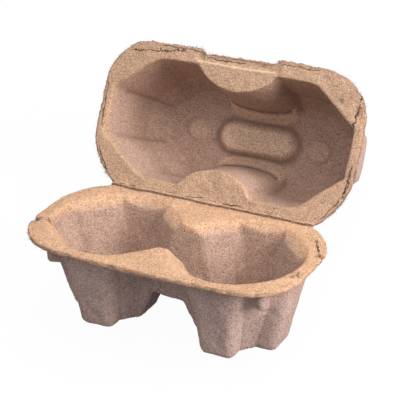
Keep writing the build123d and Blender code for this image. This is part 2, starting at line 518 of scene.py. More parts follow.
@dataclass(frozen=True)
class Scar:
    """A place on a rim where the pulp is nicked, split or pulled up into a tuft.

    It is pressed in by its sink, its edge is torn in by its bite, and it is dark by a share. A
    negative sink or bite does the opposite; a negative dark leaves it undarkened.
    """

    place: Pair
    radius: float
    sink: float
    bite: float
    dark: float
    ragged_radius: float = 0.25
    ragged_sink: float = 0.5

    def weight(self, points: Array, ragged: Array) -> Array:
        """One less the square of distance over radius, with noise in the distance.

        Args:
            points: the half's points.
            ragged: the noise, one value for each point.

        Returns:
            How strongly the scar takes hold of each point.
        """
        away = points[:, :2] - np.array(self.place)
        share = np.hypot(away[:, 0], away[:, 1]) / self.radius
        return np.clip(1 - (share * (1 + self.ragged_radius * ragged)) ** 2, 0, 1)


@dataclass(frozen=True)
class PulpWall:
    """How a sheet becomes moulded pulp: its wall, its torn rim and its unevenness.

    Wave, lump, pit and tear are each a height and the spacing of the noise that gives it. The
    coarse tear's height is a share of the tear's. A fade is the distance at which a mark is full
    and the one at which it is gone.
    """

    thickness: float = 1.8
    wave: Pair = (0.36, 17.0)
    wave_offsets: Triple = (0.0, 211.0, 433.0)
    lump: Pair = (0.10, 3.1)
    pit: Pair = (0.055, 1.15)
    pit_offset: float = 97.0
    rim_rows: int = 4
    rim_bulge: float = 0.25
    tear: Pair = (0.28, 0.9)
    coarse_tear: Pair = (0.7, 2.6)
    tear_stretch: Triple = (1.0, 1.0, 2.5)
    torn_corner: float = 0.6
    land_fade: Pair = (1.2, 4.2)
    scar_height_fade: Pair = (2.0, 4.0)
    scar_edge_fade: Pair = (1.0, 3.0)
    scar_ragged_mm: float = 0.8
    scar_core: float = 1.6
    crease_gap: float = 0.06
    mating_gap: float = 0.04

    def build(
        self,
        sheet: Sheet,
        flange: Flange,
        seed: int,
        towards: float,
        scars: tuple[Scar, ...],
        press: Callable[[Array], Array] | None = None,
    ) -> tuple[Array, Array, dict[PaintMark, Array]]:
        """Give a sheet its wall and its rim, and roughen it.

        The back is the evened and waved sheet moved along its normals by the thickness. Both
        halves keep a small gap from the crease and from the rim plane, so that they don't touch
        when the lid is shut or laid flat.

        Args:
            sheet: the inner side of the wall.
            flange: the half's flange.
            seed: seed of the noise.
            towards: 1 if the sheet's faces look into the half, else -1.
            scars: the places where the rim is damaged.
            press: function that presses further forms into the screen side, or None.

        Returns:
            Points, faces and the values for the finish.
        """
        grain = Grain(seed)
        rim = sheet.rim()
        ring, place = np.unique(rim, return_inverse=True)
        place = place.reshape(-1, 2)
        total = len(sheet.points)
        on_rim = np.zeros(total)
        on_rim[ring] = 1.0
        front = sheet.relaxed(sheet.points, on_rim)
        height, spacing = self.wave
        front = front + height * grain.vectors(front, spacing, self.wave_offsets)
        outwards = -towards * sheet.normals(front)
        back = front + outwards * self.thickness
        back = sheet.relaxed(back if press is None else press(back), on_rim)
        share = np.arange(1, self.rim_rows) / self.rim_rows
        band = self.band(front[ring], back[ring], self.rim_side(front, rim, ring), share, grain)
        between = 2 * total + np.arange(len(share) * len(ring)).reshape(len(share), -1)
        rows = np.concatenate([ring[None], between, ring[None] + total])
        upper, lower = rows[:-1], rows[1:]
        start, end = place[:, 0], place[:, 1]
        joins = np.stack([upper[:, end], upper[:, start], lower[:, start], lower[:, end]], -1)
        points = np.concatenate([front, back, band])
        faces = np.concatenate([sheet.faces, sheet.faces[:, ::-1] + total, joins.reshape(-1, 4)])
        normal = towards * Sheet(points, faces).normals(points)
        rough = self.lump[0] * grain(points, self.lump[1])
        rough = rough + self.pit[0] * grain(points + self.pit_offset, self.pit[1])
        points = points + normal * rough[:, None]
        torn = np.zeros(len(points))
        torn[2 * total:] = 1.0
        torn[np.concatenate([ring, ring + total])] = self.torn_corner
        screen = np.repeat([0.0, 1.0, *share], [total, total, *[len(ring)] * len(share)])
        edge = flange.inset(points)
        land = fade(np.abs(points[:, 2]), *self.land_fade)
        points, scarred = self.scarred(points, edge, towards, scars, grain)
        points[:, 1] = np.minimum(points[:, 1], -self.crease_gap)
        points[:, 2] = towards * np.minimum(towards * points[:, 2], -self.mating_gap)
        marks = {
            PaintMark.TORN: torn,
            PaintMark.SCREEN: screen,
            PaintMark.LAND: land,
            PaintMark.EDGE: edge,
            PaintMark.SCAR: scarred,
        }
        return points, faces, marks

    def band(self, upper: Array, lower: Array, side: Array, share: Array, grain: Grain) -> Array:
        """Rows of points between the two sides of a rim, bulged by a sine and torn by noise.

        Args:
            upper: the rim's points on the sheet.
            lower: the rim's points on the back.
            side: direction away from the sheet at each of them.
            share: how far each row lies from the sheet to the back.
            grain: the noise.

        Returns:
            The rows' points, one row after the other.
        """
        part = share[:, None, None]
        spot = upper * (1 - part) + lower * part
        coarse, coarse_spacing = self.coarse_tear
        tear, spacing = self.tear
        torn = grain(spot * np.array(self.tear_stretch), spacing)
        torn = tear * (torn + coarse * grain(spot, coarse_spacing))
        out = self.rim_bulge * np.sin(math.pi * share)[:, None] + torn
        return (spot + side * out[..., None]).reshape(-1, 3)

    def scarred(
        self, points: Array, edge: Array, towards: float, scars: tuple[Scar, ...], grain: Grain
    ) -> tuple[Array, Array]:
        """Press each scar into the rim, bite its edge and mark how dark it is.

        Args:
            points: the half's points.
            edge: how far each lies within the outline.
            towards: 1 if the half's inside is up, else -1.
            scars: the scars.
            grain: the noise that makes them ragged.

        Returns:
            The moved points and the scars' darkness, one value for each point.
        """
        points = points.copy()
        dark = np.zeros(len(points))
        ragged = grain(points, self.scar_ragged_mm)
        low = fade(np.abs(points[:, 2]), *self.scar_height_fade)
        near = fade(edge, *self.scar_edge_fade)
        for scar in scars:
            weight = scar.weight(points, ragged) * low
            points[:, 2] -= towards * scar.sink * weight * (1 + scar.ragged_sink * ragged)
            points[:, :2] -= unit(points[:, :2]) * (scar.bite * weight * near)[:, None]
            dark = np.maximum(dark, scar.dark * np.clip(self.scar_core * weight, 0, 1))
        return points, dark

    @staticmethod
    def rim_side(points: Array, rim: Array, ring: Array) -> Array:
        """Directions in the rim's plane that point away from the sheet.

        An edge's direction is turned a quarter in plan, and a point takes the mean of its two.

        Args:
            points: the sheet's points.
            rim: the rim's edges.
            ring: the rim's points.

        Returns:
            One unit vector for each rim point.
        """
        along = points[rim[:, 1]] - points[rim[:, 0]]
        out = np.stack([along[:, 1], -along[:, 0], np.zeros(len(along))], -1)
        total = summed(rim[:, 0], out, len(points)) + summed(rim[:, 1], out, len(points))
        side = unit(total[ring])
        outwards = points[ring] - points[ring].mean(0)
        return side * np.sign((outwards * side).sum())


@dataclass(frozen=True)
class Tray:
    """The lower half: two cross-shaped cups, a saddle between them and a flat flange."""

    placement: Placement
    wall: PulpWall
    seed: int = 11
    height: float = 34.0
    flange: Flange = Flange(52.4, 55.4, 1.2, 19.0, 19.0, 41.0, 0.25)
    rim_clearance: float = 0.15
    cup: Pair = (24.0, -28.0)
    sole: Cross = Cross(17.4, 15.9, 18.2, 5.2, 5.5, (12.1, 4.0))
    throat: Cross = Cross(23.3, 23.3, 25.0, 9.7, 6.5, (21.7, 6.2))
    left_outer_setback: float = 3.2
    mouth_radius: float = 24.5
    flare: float = 2.6
    flare_lead: float = 1.0
    toe_height: float = 20.0
    toe_setback: float = 4.0
    toe_power: float = 1.2
    toe_levels: int = 30
    saddle_height: float = 14.5
    saddle_half_depth: float = 7.0
    saddle_top_half_depth: float = 9.9
    saddle_half_length: float = 13.0
    lug_radius: float = 2.3
    lug_reach: float = 23.4
    lug_turn: float = math.radians(44.0)
    lug_top: float = 0.5
    lug_length: float = 10.2
    scars: tuple[Scar, ...] = (
        Scar((52.0, -19.6), 1.9, 0.2, 0.9, 0.6),
        Scar((50.6, -35.2), 2.2, -0.7, -0.5, 0.2),
        Scar((48.6, -37.6), 1.2, 0.6, 0.6, 0.7),
        Scar((-52.2, -37.4), 2.2, 0.7, 1.0, 0.9),
        Scar((-47.4, -35.1), 1.8, 0.7, 0.2, 0.8),
    )
    outer_rays: int = 190
    inner_rays: int = 90
    ray_steps: int = 84
    snap: float = 1e-3

    def surface(self, x: Array, y: Array, setback: float) -> Array:
        """Height of the upper side over a place.

        A cup's wall rises linearly from its sole cross to its throat cross, then flares to its
        mouth. The toe bends the wall back at the foot of the lobe beside the saddle. The saddle
        is a trough with drafted sides. The lowest of these and the rim is the surface.

        Args:
            x: place along the crease.
            y: place from front to rear.
            setback: how far the foot of the outer lobe is set back.

        Returns:
            The height from the rim plane, negative in a cup.
        """
        thick = self.wall.thickness
        u, v = np.abs(x) - self.cup[0], y - self.cup[1]
        away = np.hypot(u, v)
        top = self.height - thick
        sole = self.sole.radius(u, v, setback)
        throat = self.throat.radius(u, v)
        wall = top * (away - sole + thick) / (throat - sole)
        level = np.linspace(0, self.toe_height, self.toe_levels)
        foot, head = self.sole.inner_reach, self.throat.inner_reach
        reach = foot + (head - foot) * level / top
        reach = reach - self.toe_setback * (1 - level / self.toe_height) ** self.toe_power - thick
        toe = np.interp(-u, reach, level, left=0.0, right=-self.height)
        bowl = np.maximum(np.maximum(wall, toe), thick)
        start = np.minimum(throat, head) - thick
        flare = self.height - self.flare
        flare = flare + (away - start) * (self.flare / (self.mouth_radius - start))
        flared = np.minimum(bowl, np.maximum(flare, 0))
        bowl = np.where(away > start - self.flare_lead, flared, bowl)
        draft = self.saddle_top_half_depth - self.saddle_half_depth
        rise = (self.height - self.saddle_height) / draft
        trough = self.saddle_height + np.maximum(np.abs(v) - self.saddle_half_depth, 0) * rise
        trough = np.where(np.abs(x) < self.saddle_half_length, trough, np.inf)
        return np.minimum(np.minimum(bowl, trough), self.height) - self.height - self.rim_clearance

    def sheet(self) -> Sheet:
        """The right half, joined to the left one, whose outer lobe stands further in."""
        return self.half(0.0).joined(self.half(self.left_outer_setback))

    def half(self, setback: float) -> Sheet:
        """Rays from a cup's centre to the flange's outline or to the carton's middle.

        Points closer to the carton's middle than the snap are set on it, so that halves merge.

        Args:
            setback: how far the foot of the outer lobe is set back.

        Returns:
            The sheet of the half to the right of the carton's middle.
        """
        cx, cy = self.cup
        front = math.atan2(-self.flange.depth - self.flange.bow - cy, -cx)
        rear = math.atan2(-self.flange.crease_clearance - cy, -cx)
        outer = np.linspace(front, rear, self.outer_rays, endpoint=False)
        inner = np.linspace(rear, front + 2 * math.pi, self.inner_rays, endpoint=False)
        angles = np.concatenate([outer, inner])
        edge = self.flange.reach(self.cup, angles)
        middle = cx / np.maximum(-np.cos(angles), LEAST_SHARE)
        surface = partial(self.surface, setback=setback)
        rays = ray_grid(angles, np.minimum(edge, middle), self.cup, surface, self.ray_steps)
        rays[..., 0] = np.where(np.abs(rays[..., 0]) < self.snap, 0.0, rays[..., 0])
        return Sheet.from_rays(rays)

    def press_lugs(self, back: Array) -> Array:
        """Press the four upright lugs out of the outer flutes, under the flange.

        A lug is a half cylinder with a round lower end. Each point of its strip moves away from
        the cup's middle to the cylinder's surface, if it lies within it.

        Args:
            back: points of the screen side.

        Returns:
            The same points with the lugs pressed out.
        """
        side = np.where(back[:, 0] < 0, -1.0, 1.0)
        u, v = np.abs(back[:, 0]) - self.cup[0], back[:, 1] - self.cup[1]
        away = np.hypot(u, v)
        off = np.arctan2(np.abs(v), u) - self.lug_turn
        across, along = away * np.sin(off), away * np.cos(off)
        depth = -back[:, 2] - self.wall.thickness
        fallen = fade(depth, self.lug_length, self.lug_length - self.lug_radius)
        radius = self.lug_radius * np.sqrt(1 - fallen**2)
        lug = self.lug_reach + np.sqrt(np.maximum(radius**2 - across**2, 0))
        tall = (depth > self.lug_top) & (depth < self.lug_length)
        inside = tall & (np.abs(across) < radius) & (along < lug)
        grow = np.where(inside, lug / np.maximum(along, 1.0), 1.0)
        x = side * (self.cup[0] + u * grow)
        return np.stack([x, self.cup[1] + v * grow, back[:, 2]], -1)

    def build(self) -> bpy.types.Object:
        """Make the tray's mesh in the shared frame.

        Returns:
            The linked object.
        """
        points, faces, marks = self.wall.build(
            self.sheet(), self.flange, self.seed, 1.0, self.scars, self.press_lugs
        )
        return pulp_object("tray_moulding", self.placement, points, faces, marks)


@dataclass(frozen=True)
class Bay:
    """One level of the lid's pressed bay, as half its outline from its middle to its flank.

    The line runs from the apex along the flat reach, round a bulging corner to the flank.
    """

    half_length: float
    depth: float
    flat_half_length: float
    flat_depth: float
    apex: float
    bulge: float
    flank: ClassVar[Pair] = (1.5, 30.0)

    def line(self, u: Array) -> Array:
        """Distance from the lid's middle line to the bay's edge.

        Args:
            u: distances from the bay's middle.

        Returns:
            The distance for each u, growing steeply beyond the flank.
        """
        lean = self.bulge * HALF_ROOT
        corner = (
            (self.half_length + self.flat_half_length) / 2 + lean,
            (self.depth + self.flat_depth) / 2 - lean,
        )
        flat_end = (self.flat_half_length, self.flat_depth)
        flat_middle = (flat_end[0] / 2, self.apex + (flat_end[1] - self.apex) / 4)
        flat = arc((0.0, self.apex), flat_middle, flat_end)
        bend = arc(flat_end, corner, (self.half_length, self.depth))
        beyond = (self.half_length + self.flank[0], self.depth + self.flank[1])
        line = np.concatenate([flat, bend, [beyond]])
        return np.interp(u, np.maximum.accumulate(line[:, 0]), line[:, 1])


@dataclass(frozen=True)
class LidPaintedLightAndShade:
    """Where the lid's inner side gets a painted highlight, and where painted shade darkens its creases.

    A fade is the distance at which a mark is full and the one at which it is gone. A groove is
    its darkness, its distance from the oblong and its width.
    """

    # Painted highlight on the raised oblong, the pads and the bay's face.
    raised_fade: Pair = (-1.0, 1.0)
    pad_share: float = 0.25
    bay_share: float = 0.8
    bay_fade: Pair = (-3.0, -4.5)
    bay_half_length: float = 14.0
    panel_margin: float = 1.0
    screen_limit: float = 0.1
    # Painted shade: the moat's groove, the bay's foot crease and the corner creases.
    groove: Triple = (0.45, 1.8, 1.0)
    foot_crease: Pair = (0.8, 0.6)
    foot_half_length: float = 12.5
    corner_crease: Pair = (0.5, 0.022)
    corner_levels: Pair = (8.0, 34.2)
    corner_start: float = 34.0


@dataclass(frozen=True)
class Lid:
    """The upper half: a deep eight-sided shell with a bay pressed into its front and rear.

    A section is the half length, the half depth and the distance of the slanted sides. The moat
    is the depth, the place and the width of the hollow round the oblong, and the fold the place,
    the half length and the height of the line along the front land.
    """

    placement: Placement
    wall: PulpWall
    painted_light_and_shade: LidPaintedLightAndShade = LidPaintedLightAndShade()
    seed: int = 23
    flange: Flange = Flange(
        52.2, 56.0, 0.6, 17.0, 19.0, 41.0, 0.25, step_half_width=15.0, step_depth=1.8
    )
    rim_clearance: float = 0.15
    middle: float = -27.65
    depth: float = 35.2
    shoulder: float = 27.0
    panel_section: Triple = (37.0, 15.2, 28.6)
    shoulder_section: Triple = (44.2, 19.1, 33.7)
    rim_section: Triple = (48.8, 22.9, 37.9)
    corner_slant: Pair = (0.632, 0.775)
    corner_power: float = 34.0
    corner_crease: Pair = (0.022, 0.028)
    bay_foot_level: float = 30.0
    bay_rim: Bay = Bay(15.0, 22.9, 8.5, 16.9, 14.75, 0.6)
    bay_foot: Bay = Bay(15.2, 18.0, 8.8, 11.8, 10.9, 1.5)
    bay_panel: Bay = Bay(15.6, 15.0, 9.4, 8.6, 7.8, 1.5)
    panel_edge: float = 0.5
    oblong: Pair = (15.6, 5.2)
    oblong_height: float = 2.6
    oblong_edge: float = 2.4
    moat: Triple = (0.8, 2.2, 1.3)
    pad_offset: float = 25.3
    pad_radius: float = 4.4
    pad_height: float = 1.2
    pad_edge: float = 1.0
    fold: Triple = (-51.5, 16.5, 0.55)
    fold_fades: Pair = (0.9, 2.0)
    scars: tuple[Scar, ...] = (
        Scar((-41.5, -44.4), 1.8, -0.1, 0.0, -0.6),
        Scar((42.2, -46.2), 1.0, 0.3, 0.0, 0.9),
        Scar((47.6, -50.5), 1.4, 0.4, 0.5, 0.7),
        Scar((49.0, -43.5), 1.3, 0.4, 0.4, 0.7),
        Scar((51.0, -20.5), 1.6, 0.5, 1.2, 0.6),
        Scar((-15.0, -54.0), 1.5, 0.4, 0.5, 0.5),
    )
    rays: int = 420
    ray_steps: int = 112
    crowding: float = 0.30

    def surface(self, x: Array, y: Array) -> Array:
        """Height of the inner side over a place of the closed lid.

        Ends, front, rear and corners rise from the rim to the shoulder and lean in to the panel.
        Each bay's face rises from its line at the rim to the one at its foot, further in, and
        slopes on to its line at the panel. The lowest of these is the surface. The panel carries
        the raised oblong, the moat round it and two pads.

        Args:
            x: place along the crease.
            y: place from front to rear.

        Returns:
            The height from the rim plane.
        """
        u, v = np.abs(x), np.abs(y - self.middle)
        panel_gauge, shoulder_gauge, rim_gauge = (
            self.gauge(u, v, section)
            for section in (self.panel_section, self.shoulder_section, self.rim_section)
        )
        between = np.maximum(panel_gauge - shoulder_gauge, LEAST_SHARE)
        turned_in = (panel_gauge - 1) * shoulder_gauge / between
        between = np.maximum(shoulder_gauge - rim_gauge, LEAST_SHARE)
        leaned = (shoulder_gauge - 1) * rim_gauge / between
        height = self.depth - (self.depth - self.shoulder) * np.clip(turned_in, 0, 1)
        height = height - self.shoulder * np.clip(leaned, 0, 1)
        rim, foot, panel = (bay.line(u) for bay in (self.bay_rim, self.bay_foot, self.bay_panel))
        level = self.bay_foot_level
        lower = level * (rim - v) / (rim - foot)
        upper = level + (self.depth - level) * (foot - v) / (foot - panel)
        pressed = np.where(v > foot, np.maximum(lower, 0), np.where(v > panel, upper, np.inf))
        height = np.minimum(height, pressed)
        off, pad = self.raised_forms(u, v)
        raised = self.oblong_height * fade(off, -self.oblong_edge / 2, self.oblong_edge / 2)
        moat_depth, moat_place, moat_width = self.moat
        raised = raised - moat_depth * bell(off - moat_place, moat_width)
        raised = raised + self.pad_height * fade(pad, -self.pad_edge / 2, self.pad_edge / 2)
        height = height - np.where(height > self.depth - self.panel_edge, raised, 0)
        line, half_length, step = self.fold
        folded = step * fade(y, line - self.fold_fades[0], line)
        folded = folded * fade(u, half_length - self.fold_fades[1], half_length)
        return height + folded + self.rim_clearance

    def raised_forms(self, u: Array, v: Array) -> tuple[Array, Array]:
        """Distances in plan to the outlines of the panel's raised forms, negative within.

        Args:
            u: distance from the lid's middle along the crease.
            v: distance from the lid's middle line.

        Returns:
            The distance to the oblong and the one to the nearer pad.
        """
        long_half, short_half = self.oblong
        off = np.hypot(np.maximum(u - long_half + short_half, 0), v) - short_half
        return off, np.hypot(u - self.pad_offset, v) - self.pad_radius

    def gauge(self, u: Array, v: Array, section: Triple) -> Array:
        """Size of the eight-sided section that passes a place, as a share of a given section.

        Each pair of sides gives the share at which it reaches the place. The power mean of the
        three shares rounds the corners, and a narrow bell of their difference presses a crease
        into the corner between an end and a slanted side.

        Args:
            u: distance from the lid's middle along the crease.
            v: distance from the lid's middle line.
            section: half length, half depth and distance of the slanted sides.

        Returns:
            The share for each place.
        """
        half_length, half_depth, corner = section
        slant = u * self.corner_slant[0] + v * self.corner_slant[1]
        shares = np.stack([u / half_length, v / half_depth, slant / corner])
        power = self.corner_power
        size = np.maximum((shares**power).sum(0), LEAST_SIZE) ** (1 / power)
        depth, width = self.corner_crease
        return size * (1 - depth * bell(shares[0] - shares[2], width))

    def sheet(self) -> Sheet:
        """Rays from the panel's middle to the flange's outline, closer together at the bays.

        Returns:
            The lid's inner side.
        """
        centre = (0.0, self.middle)
        turn = np.linspace(0, 2 * math.pi, self.rays, endpoint=False)
        angles = turn + self.crowding * np.sin(2 * turn)
        reach = self.flange.reach(centre, angles)
        return Sheet.from_rays(ray_grid(angles, reach, centre, self.surface, self.ray_steps))

    def build(self) -> bpy.types.Object:
        """Make the lid's mesh in the shared frame, with a painted highlight and painted crease shade on
        its inner side alone.

        Returns:
            The linked object.
        """
        points, faces, marks = self.wall.build(
            self.sheet(), self.flange, self.seed, -1.0, self.scars
        )
        # The inner side gets a painted highlight on its raised forms and painted shade in its creases.
        rubbed, painted_crease_shade = self.mark_painted_light_and_shade(points)
        inside = marks[PaintMark.SCREEN] < self.painted_light_and_shade.screen_limit
        marks[PaintMark.RUBBED] = rubbed * inside
        marks[PaintMark.SCAR] = np.maximum(marks[PaintMark.SCAR], painted_crease_shade * inside)
        return pulp_object("lid_moulding", self.placement, points, faces, marks)

    def mark_painted_light_and_shade(self, points: Array) -> tuple[Array, Array]:
        """Mark the raised places for a painted highlight, and the creases round them and in the ends for
        painted shade.

        Args:
            points: the lid's points.

        Returns:
            How strong each point's painted highlight is, and how dark its painted shade is.
        """
        painted_light_and_shade = self.painted_light_and_shade
        u, v = np.abs(points[:, 0]), np.abs(points[:, 1] - self.middle)
        off, pad = self.raised_forms(u, v)
        past_foot = v - self.bay_foot.line(u)
        # Painted highlight on the oblong, the pads and the bay's face.
        raised = fade(off, *painted_light_and_shade.raised_fade)
        rubbed = np.maximum(raised, painted_light_and_shade.pad_share * fade(pad, *painted_light_and_shade.raised_fade))
        bay = painted_light_and_shade.bay_share * fade(past_foot, *painted_light_and_shade.bay_fade)
        rubbed = np.maximum(rubbed, bay * (past_foot < 0) * (u < painted_light_and_shade.bay_half_length))
        on_panel = points[:, 2] > self.bay_foot_level - painted_light_and_shade.panel_margin
        # Painted shade in the moat, along the bay's foot and in the corner creases.
        darkness, place, width = painted_light_and_shade.groove
        groove = darkness * bell(off - place, width)
        darkness, width = painted_light_and_shade.foot_crease
        crease = darkness * bell(past_foot, width) * (u < painted_light_and_shade.foot_half_length)
        slant = u * self.corner_slant[0] + v * self.corner_slant[1]
        slant = np.maximum(slant, LEAST_SLOPE)
        darkness, width = painted_light_and_shade.corner_crease
        corner = darkness * bell(u / slant - self.rim_section[0] / self.rim_section[2], width)
        low, high = painted_light_and_shade.corner_levels
        on_end = (points[:, 2] > low) & (points[:, 2] < high) & (u > painted_light_and_shade.corner_start)
        dark = np.maximum(np.maximum(groove, crease) * on_panel, corner * on_end)
        return rubbed * on_panel, dark


@dataclass(frozen=True)
class CreaseStrip:
    """The pulp that bends where tray and lid join: a thin skin round the rear edges."""

    tray: Placement
    lid: Placement
    seed: int = 31
    half_length: float = 41.0
    tuck: float = 1.5
    middle_depth: float = 1.05
    thickness: float = 0.75
    pull_share: float = 0.15
    columns: int = 320
    rows: int = 16
    fine: float = 1.3
    fine_offsets: Triple = (0.0, 77.0, 155.0)
    coarse: float = 5.0
    coarse_offsets: Triple = (31.0, 59.0, 91.0)
    coarse_share: float = 1.6
    roughness: float = 0.09
    bent_fade: Pair = (1.6, 2.6)
    land: float = 0.6
    torn: float = 0.4

    def build(self) -> bpy.types.Object:
        """Carry a band's round section along the crease, with noise on its sides and ends.

        The band's middle line is a quadratic curve from within the tray's flange, round the
        crease, to within the lid's flange. Its section goes once round that line, and its middle
        rows are marked as cracked.

        Returns:
            The linked object.
        """
        grain = Grain(self.seed)
        start = self.tray.to_world(np.array([0.0, -self.tuck, -self.middle_depth]))
        end = self.lid.to_world(np.array([0.0, -self.tuck, self.middle_depth]))
        crease = np.array(self.tray.crease)
        pull = crease + ((start + end) / 2 - crease) * self.pull_share
        share = np.linspace(0, 1, self.rows)[:, None]
        line = start * (1 - share) ** 2 + 2 * pull * share * (1 - share) + end * share**2
        along = np.gradient(line, axis=0)
        across = np.stack([np.zeros(self.rows), -along[:, 2], along[:, 1]], -1)
        across = unit(across) * self.thickness / 2 * MM
        loop = np.concatenate([line + across, (line - across)[::-1]])
        x = np.linspace(-self.half_length, self.half_length, self.columns) * MM
        points = np.broadcast_to(loop, (self.columns, *loop.shape)).copy()
        points[..., 0] += x[:, None]
        rough = grain.vectors(points / MM, self.fine, self.fine_offsets)
        coarse = grain.vectors(points / MM, self.coarse, self.coarse_offsets)
        points = points + (rough + self.coarse_share * coarse) * self.roughness * MM
        index = np.arange(self.columns * len(loop)).reshape(self.columns, -1)
        after = np.roll(index, -1, 1)
        faces = np.stack([index[:-1], after[:-1], after[1:], index[1:]], -1)
        faces = faces.reshape(-1, 4).tolist() + [index[0, ::-1].tolist(), index[-1].tolist()]
        row = np.minimum(np.arange(2 * self.rows), np.arange(2 * self.rows)[::-1])
        bent = fade(np.abs(row - (self.rows - 1) / 2), *self.bent_fade)
        ones = np.ones(index.size)
        marks = {
            PaintMark.EDGE: ones * FAR_FROM_EDGE,
            PaintMark.LAND: ones * self.land,
            PaintMark.TORN: ones * self.torn,
            PaintMark.SCAR: np.tile(bent, self.columns),
        }
        return mesh_object("crease_strip", points.reshape(-1, 3), faces, marks)


@dataclass(frozen=True)
class RimFibres:
    """Loose fibres that stand out of a torn rim, as thin three-sided threads.

    A pair is the least and the greatest value of an even spread.
    """

    count: int = 3200
    length: Pair = (0.3, 1.35)
    radius: Pair = (0.035, 0.085)
    root_inset: Pair = (0.1, 0.6)
    root_level: Pair = (0.05, 0.95)
    heading_spread: float = 0.8
    bend_spread: float = 0.55
    tip_radius_share: float = 0.02
    joints: int = 5
    sides: int = 3
    crease_margin: float = 2.5
    mating_gap: float = 0.05
    land: float = 0.5
    torn: float = 0.8
    skew: ClassVar[Triple] = (0.3, 0.5, 0.8)

    def build(
        self, name: str, placement: Placement, flange: Flange, low: float, seed: int
    ) -> bpy.types.Object:
        """Scatter threads along an outline, each a curved path that tapers to nothing.

        A path is its root plus its heading times the share of its length plus its bend times the
        square of that share. Its section is a triangle square to its heading.

        Args:
            name: the piece's name.
            placement: where the half stands.
            flange: the half's flange.
            low: height of the rim band's lower side; its upper side is at zero.
            seed: seed of the scatter.

        Returns:
            One object with all threads.
        """
        random = np.random.default_rng(seed)
        angles = random.uniform(0, 2 * math.pi, self.count)
        reach = flange.reach(flange.middle, angles) - random.uniform(*self.root_inset, self.count)
        outward = np.stack([np.cos(angles), np.sin(angles), np.zeros(self.count)], -1)
        root = outward * reach[:, None] + np.array([*flange.middle, 0.0])
        root[:, 2] = random.uniform(*self.root_level, self.count) * low
        away = root[:, 1] < -self.crease_margin
        root, outward = root[away], outward[away]
        count = len(root)
        length = random.uniform(*self.length, count)
        heading = unit(outward + random.normal(0, self.heading_spread, (count, 3)))
        bend = random.normal(0, self.bend_spread, (count, 3))
        step = np.linspace(0, 1, self.joints)[None, :, None]
        path = heading[:, None] * step + bend[:, None] * step**2
        path = root[:, None] + path * length[:, None, None]
        radius = random.uniform(*self.radius, count)[:, None, None, None]
        radius = radius * (1 + self.tip_radius_share - step[..., None])
        turn = np.arange(self.sides)[:, None] * 2 * math.pi / self.sides
        side = unit(np.cross(heading, self.skew))
        other = np.cross(heading, side)
        ring = side[:, None, None] * np.cos(turn) + other[:, None, None] * np.sin(turn)
        points = (path[:, :, None] + ring * radius).reshape(-1, 3)
        index = np.arange(len(points)).reshape(count, self.joints, self.sides)
        after = np.roll(index, -1, 2)
        faces = np.stack([index[:, :-1], after[:, :-1], after[:, 1:], index[:, 1:]], -1)
        facing = -math.copysign(1.0, low)
        points[:, 2] = facing * np.minimum(facing * points[:, 2], -self.mating_gap)
        ones = np.ones(len(points))
        marks = {
            PaintMark.TORN: ones * self.torn,
            PaintMark.EDGE: ones * FAR_FROM_EDGE,
            PaintMark.LAND: ones * self.land,
        }
        return pulp_object(name, placement, points, faces.reshape(-1, 4), marks)


def linked(name: str, data: bpy.types.ID) -> bpy.types.Object:
    """Make an object and link it to the scene.

    Args:
        name: the object's name.
        data: its mesh, lamp or camera.

    Returns:
        The object.
    """
    obj = bpy.data.objects.new(name, data)
    bpy.context.scene.collection.objects.link(obj)
    return obj


def mesh_object(
    name: str, points: Array, polygons: list, marks: dict[PaintMark, Array]
) -> bpy.types.Object:
    """Put points and faces into a smooth mesh object with values for its finish.

    Args:
        name: the piece's name.
        points: its points in metres in the shared frame.
        polygons: the point numbers of each face.
        marks: values for its finish, one for each point.

    Returns:
        The linked object.
    """
    mesh = bpy.data.meshes.new(name)
    mesh.from_pydata(points.tolist(), [], polygons)
    for mark, values in marks.items():
        layer = mesh.attributes.new(mark.value, "FLOAT", "POINT")
        layer.data.foreach_set("value", values.astype(np.float32))
    mesh.validate()
    mesh.shade_smooth()
    return linked(name, mesh)


def pulp_object(
    name: str, placement: Placement, points: Array, faces: Array, marks: dict[PaintMark, Array]
) -> bpy.types.Object:
    """Move a half's points into the shared frame, above the floor, and make their object.

    Args:
        name: the piece's name.
        placement: where its half stands.
        points: its points in millimetres.
        faces: its four-sided faces, some with two corners at one point.
        marks: values for its finish, one for each point.

    Returns:
        The linked object, which also carries each point's place in its half's frame.
    """
    polygons = [tuple(dict.fromkeys(face)) for face in faces.tolist()]
    polygons = [face for face in polygons if len(face) > 2]
    world = placement.to_world(points)
    world[:, 2] = np.maximum(world[:, 2], 0.0)
    obj = mesh_object(name, world, polygons, marks)
    own = obj.data.attributes.new(OWN_PLACE, "FLOAT_VECTOR", "POINT")
    own.data.foreach_set("vector", points.astype(np.float32).reshape(-1))
    return obj


def linear(hex_colour: str) -> tuple[float, float, float, float]:
    """Turn an sRGB hex colour such as #d8b28c into Blender's linear values with full alpha.

    Args:
        hex_colour: the colour, with two digits for each of red, green and blue.

    Returns:
        Red, green, blue and alpha.
    """
    parts = [int(hex_colour[place:place + 2], 16) / 255 for place in (1, 3, 5)]
    red, green, blue = (
        part / 12.92 if part <= 0.04045 else ((part + 0.055) / 1.055) ** 2.4 for part in parts
    )
    return red, green, blue, 1.0


def add_node(
    tree: bpy.types.NodeTree, kind: str, settings: dict | None = None, **links: object
) -> bpy.types.Node:
    """Add one node, set its properties and fill its sockets.

    Args:
        tree: the material's node tree.
        kind: the node's type, such as ShaderNodeTexNoise.
        settings: properties of the node.
        links: socket names, with spaces as underscores, or i0, i1 for a place; each gets a value
            or is linked where it is another node's socket.

    Returns:
        The node.
    """
    node = tree.nodes.new(kind)
    for name, value in (settings or {}).items():
        setattr(node, name, value)
    for name, value in links.items():
        place = int(name[1:]) if name[0] == "i" and name[1:].isdigit() else name.replace("_", " ")
        socket = node.inputs[place]
        if isinstance(value, Socket):
            tree.links.new(value, socket)
        else:
            socket.default_value = value
    return node


